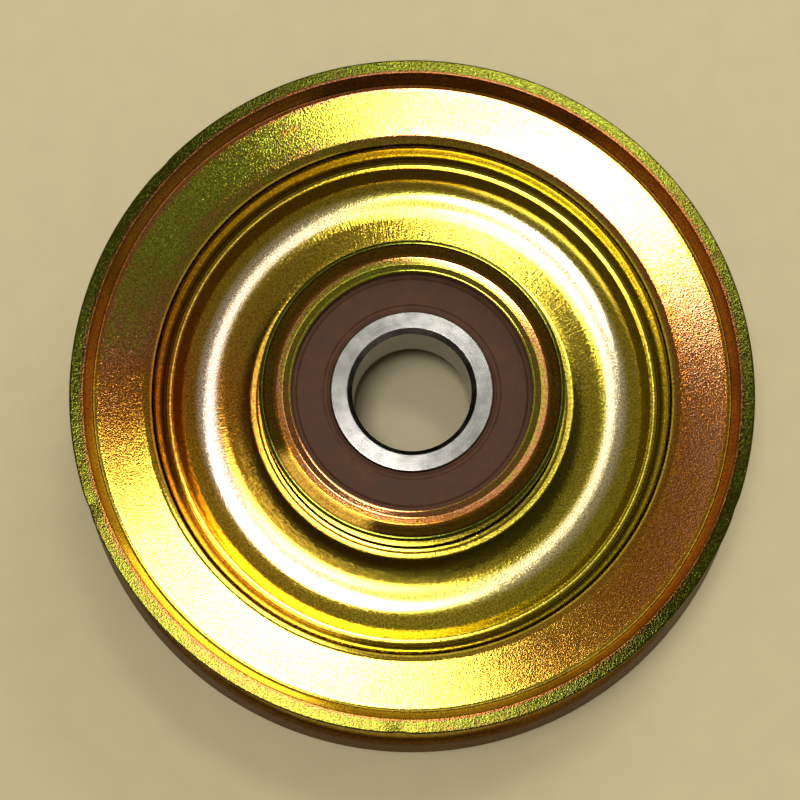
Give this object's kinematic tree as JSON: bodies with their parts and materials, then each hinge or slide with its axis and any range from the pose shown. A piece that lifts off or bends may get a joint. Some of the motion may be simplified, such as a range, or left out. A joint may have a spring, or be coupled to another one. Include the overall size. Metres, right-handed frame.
{
  "type": "belt tensioner idler pulley",
  "caption": "Pressed-steel V-belt idler pulley in two halves on a drawn hub cup, turning on a sealed deep-groove ball bearing.",
  "frame": {"origin": "centre of the bearing bore, midway between the bearing's two faces", "axes": "+Z along the bearing axis, out of the front face; X and Y lie in the bearing's middle plane and are free to turn, because the pulley is a body of revolution"},
  "size_m": [0.1008, 0.1008, 0.0232],
  "materials": {
    "zinc_plate": "yellow zinc plate with a chromate film that shifts from gold to green and rose",
    "ring_steel": "ground bearing steel",
    "ball_steel": "polished bearing steel",
    "cage_steel": "pressed steel",
    "seal_rubber": "matt brown rubber",
    "seal_core_steel": "plain sheet steel"
  },
  "bodies": {
    "inner_race": {"bearing_inner_ring": "ring_steel"},
    "pulley": {"front_sheave_half": "zinc_plate", "rear_sheave_half": "zinc_plate", "bearing_housing": "zinc_plate", "bearing_outer_ring": "ring_steel", "front_seal_rubber": "seal_rubber", "front_seal_core": "seal_core_steel", "rear_seal_rubber": "seal_rubber", "rear_seal_core": "seal_core_steel"},
    "ball_cage": {"cage_front_half": "cage_steel", "cage_rear_half": "cage_steel", "cage_rivets": "cage_steel"},
    "rolling_ball_1": {"ball_1": "ball_steel"},
    "rolling_ball_2": {"ball_2": "ball_steel"},
    "rolling_ball_3": {"ball_3": "ball_steel"},
    "rolling_ball_4": {"ball_4": "ball_steel"},
    "rolling_ball_5": {"ball_5": "ball_steel"},
    "rolling_ball_6": {"ball_6": "ball_steel"},
    "rolling_ball_7": {"ball_7": "ball_steel"},
    "rolling_ball_8": {"ball_8": "ball_steel"}
  },
  "joints": [
    {"name": "pulley_spin", "type": "hinge", "parent": "inner_race", "child": "pulley", "pos_m": [0, 0, 0], "axis": [0, 0, 1], "continuous": true},
    {"name": "cage_spin", "type": "hinge", "parent": "inner_race", "child": "ball_cage", "pos_m": [0, 0, 0], "axis": [0, 0, 1], "continuous": true},
    {"name": "ball_1_roll", "type": "hinge", "parent": "ball_cage", "child": "rolling_ball_1", "pos_m": [0.01425, 0, 0], "axis": [0, 0, 1], "continuous": true},
    {"name": "ball_2_roll", "type": "hinge", "parent": "ball_cage", "child": "rolling_ball_2", "pos_m": [0.01008, 0.01008, 0], "axis": [0, 0, 1], "continuous": true},
    {"name": "ball_3_roll", "type": "hinge", "parent": "ball_cage", "child": "rolling_ball_3", "pos_m": [0, 0.01425, 0], "axis": [0, 0, 1], "continuous": true},
    {"name": "ball_4_roll", "type": "hinge", "parent": "ball_cage", "child": "rolling_ball_4", "pos_m": [-0.01008, 0.01008, 0], "axis": [0, 0, 1], "continuous": true},
    {"name": "ball_5_roll", "type": "hinge", "parent": "ball_cage", "child": "rolling_ball_5", "pos_m": [-0.01425, 0, 0], "axis": [0, 0, 1], "continuous": true},
    {"name": "ball_6_roll", "type": "hinge", "parent": "ball_cage", "child": "rolling_ball_6", "pos_m": [-0.01008, -0.01008, 0], "axis": [0, 0, 1], "continuous": true},
    {"name": "ball_7_roll", "type": "hinge", "parent": "ball_cage", "child": "rolling_ball_7", "pos_m": [0, -0.01425, 0], "axis": [0, 0, 1], "continuous": true},
    {"name": "ball_8_roll", "type": "hinge", "parent": "ball_cage", "child": "rolling_ball_8", "pos_m": [0.01008, -0.01008, 0], "axis": [0, 0, 1], "continuous": true}
  ],
  "couplings": [
    {"joint": "cage_spin", "follows": "pulley_spin", "ratio": 0.61837},
    {"joint": "ball_1_roll", "follows": "pulley_spin", "ratio": 1.9937},
    {"joint": "ball_2_roll", "follows": "pulley_spin", "ratio": 1.9937},
    {"joint": "ball_3_roll", "follows": "pulley_spin", "ratio": 1.9937},
    {"joint": "ball_4_roll", "follows": "pulley_spin", "ratio": 1.9937},
    {"joint": "ball_5_roll", "follows": "pulley_spin", "ratio": 1.9937},
    {"joint": "ball_6_roll", "follows": "pulley_spin", "ratio": 1.9937},
    {"joint": "ball_7_roll", "follows": "pulley_spin", "ratio": 1.9937},
    {"joint": "ball_8_roll", "follows": "pulley_spin", "ratio": 1.9937}
  ]
}
